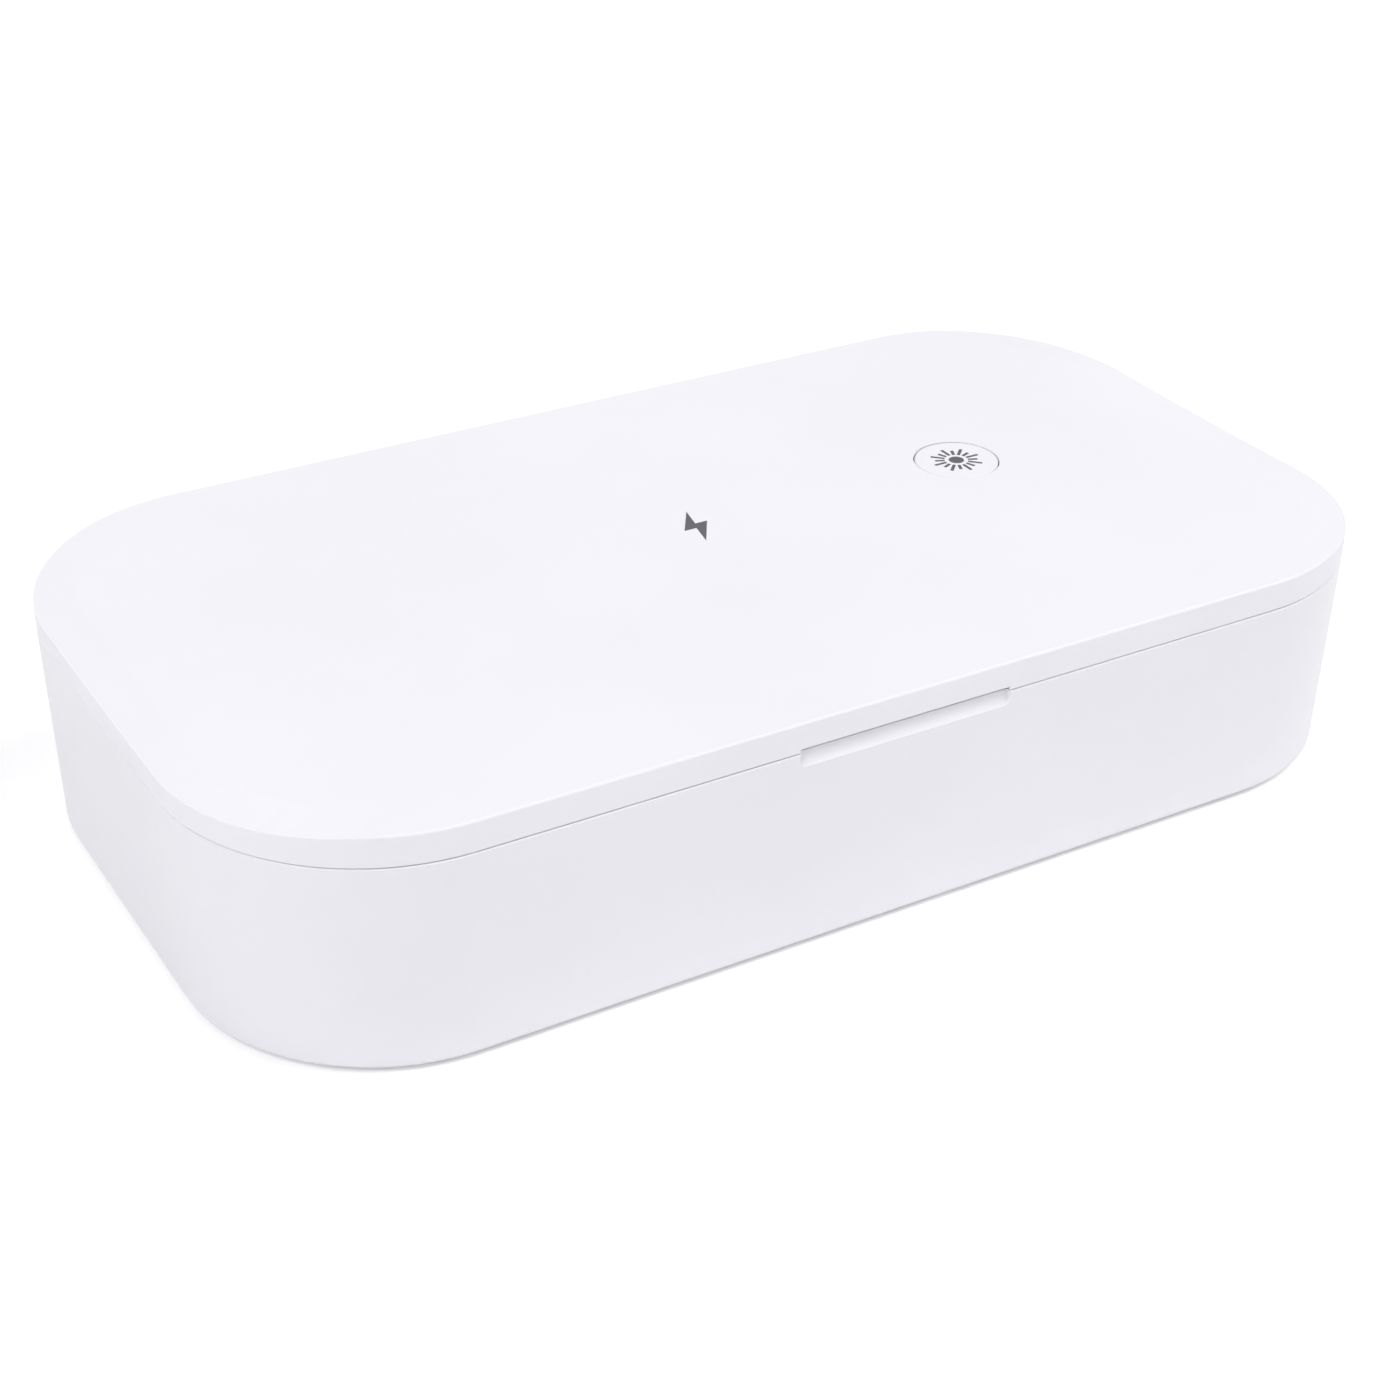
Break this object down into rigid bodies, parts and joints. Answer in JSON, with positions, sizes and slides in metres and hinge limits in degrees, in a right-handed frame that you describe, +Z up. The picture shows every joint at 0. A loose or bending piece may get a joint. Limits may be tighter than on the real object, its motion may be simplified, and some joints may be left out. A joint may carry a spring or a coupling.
{
  "type": "uv sanitizer box for phones",
  "caption": "Flat rounded box with a hinged lid that disinfects a phone with ultraviolet lamps, with a push button and a charging pad in the lid.",
  "frame": {"origin": "middle of the footprint, on the surface that the rubber feet stand on", "axes": "+X along the long side toward the button, +Y toward the hinged back, +Z up; the finger notch faces -Y"},
  "size_m": [0.216, 0.12, 0.0424],
  "materials": {
    "shell_white": "satin gloss",
    "tray_white": "satin",
    "reflector": "polished aluminium",
    "quartz": "clear",
    "lamp_ceramic": "ceramic",
    "board_green": "solder mask",
    "screw_steel": "zinc plated",
    "chip_black": "moulded",
    "inlet_steel": "nickel plated",
    "magnet_nickel": "nickel plated",
    "lead_black": "matt",
    "lead_red": "matt",
    "lead_white": "matt",
    "pin_steel": "ground",
    "seal_grey": "matt silicone",
    "foot_grey": "matt",
    "lid_white": "satin gloss",
    "copper": "enamelled wire",
    "ferrite": "sintered",
    "plunger_white": "moulded",
    "button_white": "satin gloss"
  },
  "bodies": {
    "base": {"base_shell": "shell_white", "chamber_tray": "tray_white", "tray_reflector": "reflector", "tray_lamp_windows": "quartz", "tray_lamps": "lamp_ceramic", "tray_lamp_board": "board_green", "tray_board_screws": "screw_steel", "control_board": "board_green", "control_board_screws": "screw_steel", "control_chips": "chip_black", "buzzer": "chip_black", "inlet_shell": "inlet_steel", "inlet_tongue": "chip_black", "base_magnets": "magnet_nickel", "lid_sensor": "board_green", "sensor_lead": "lead_black", "lamp_lead": "lead_red", "hinge_lead_base": "lead_white", "hinge_pins": "pin_steel", "chamber_seal": "seal_grey", "tray_screws": "screw_steel", "rubber_feet": "foot_grey"},
    "lid": {"lid_shell": "lid_white", "lid_panel": "tray_white", "lid_reflector": "reflector", "lid_lamp_windows": "quartz", "lid_lamps": "lamp_ceramic", "lid_board": "board_green", "lid_board_screws": "screw_steel", "lid_chips": "chip_black", "charging_coil": "copper", "coil_shield": "ferrite", "coil_lead": "copper", "lid_magnets": "magnet_nickel", "sensor_magnet": "magnet_nickel", "lid_screws": "screw_steel", "button_light": "lamp_ceramic", "tact_switch": "chip_black", "hinge_lead_lid": "lead_white"},
    "button": {"power_button": "button_white"},
    "plunger": {"tact_plunger": "plunger_white"}
  },
  "joints": [
    {"name": "lid_hinge", "type": "hinge", "parent": "base", "child": "lid", "pos_m": [0, 0.058, 0.03707], "axis": [-1, 0, 0], "range_deg": [0, 95]},
    {"name": "button_press", "type": "slide", "parent": "lid", "child": "button", "axis": [0, 0, -1], "range_m": [0, 0.0005], "stiffness_N_per_m": 1600},
    {"name": "plunger_press", "type": "slide", "parent": "lid", "child": "plunger", "axis": [0, 0, -1], "range_m": [0, 0.0005]}
  ],
  "couplings": [
    {"joint": "plunger_press", "follows": "button_press", "ratio": 1}
  ]
}
